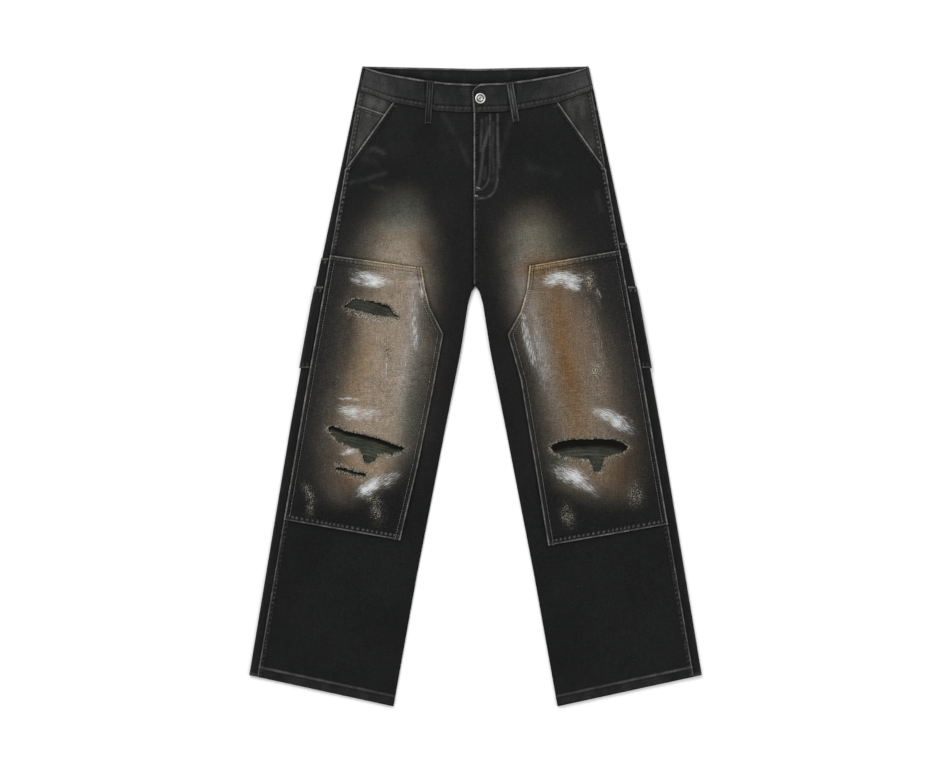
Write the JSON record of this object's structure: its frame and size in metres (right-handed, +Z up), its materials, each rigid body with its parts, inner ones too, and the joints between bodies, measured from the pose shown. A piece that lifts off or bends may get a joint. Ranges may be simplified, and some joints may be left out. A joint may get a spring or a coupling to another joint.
{
  "type": "ripped jeans",
  "caption": "Wide-leg double-knee jeans in black denim, laid flat front up, with ripped and bleached knee patches, tool pockets on the outer legs and a buttoned waistband.",
  "frame": {"origin": "on the surface it lies on, under the middle of the laid-out garment's outline", "axes": "+Z up out of the front of the garment, +Y towards the waist, +X towards the wearer's left side"},
  "size_m": [0.7686, 1.0866, 0.0129],
  "materials": {
    "denim": "matte twill",
    "worn_denim": "matte twill, rubbed at the edges",
    "bleached_denim": "matte twill, bleached and stained",
    "nickel": "satin nickel",
    "zip_metal": "satin"
  },
  "bodies": {
    "root": {"front_left": "denim", "front_right": "denim", "back_left": "denim", "back_right": "denim", "yoke_left": "denim", "yoke_right": "denim", "tool_pocket_upper_left": "denim", "tool_pocket_upper_right": "denim", "tool_pocket_lower_left": "denim", "tool_pocket_lower_right": "denim", "back_pocket_left": "denim", "back_pocket_right": "denim", "belt_loop_back_left": "denim", "belt_loop_back_center": "denim", "belt_loop_back_right": "denim", "fly_facing": "denim", "waistband_front_left": "worn_denim", "waistband_front_right": "worn_denim", "waistband_back": "worn_denim", "belt_loop_front_left": "worn_denim", "belt_loop_front_right": "worn_denim", "pocket_facing_left": "worn_denim", "pocket_facing_right": "worn_denim", "coin_pocket": "worn_denim", "knee_patch_left": "bleached_denim", "knee_patch_right": "bleached_denim", "button": "nickel", "fly_zip": "zip_metal"}
  },
  "joints": []
}
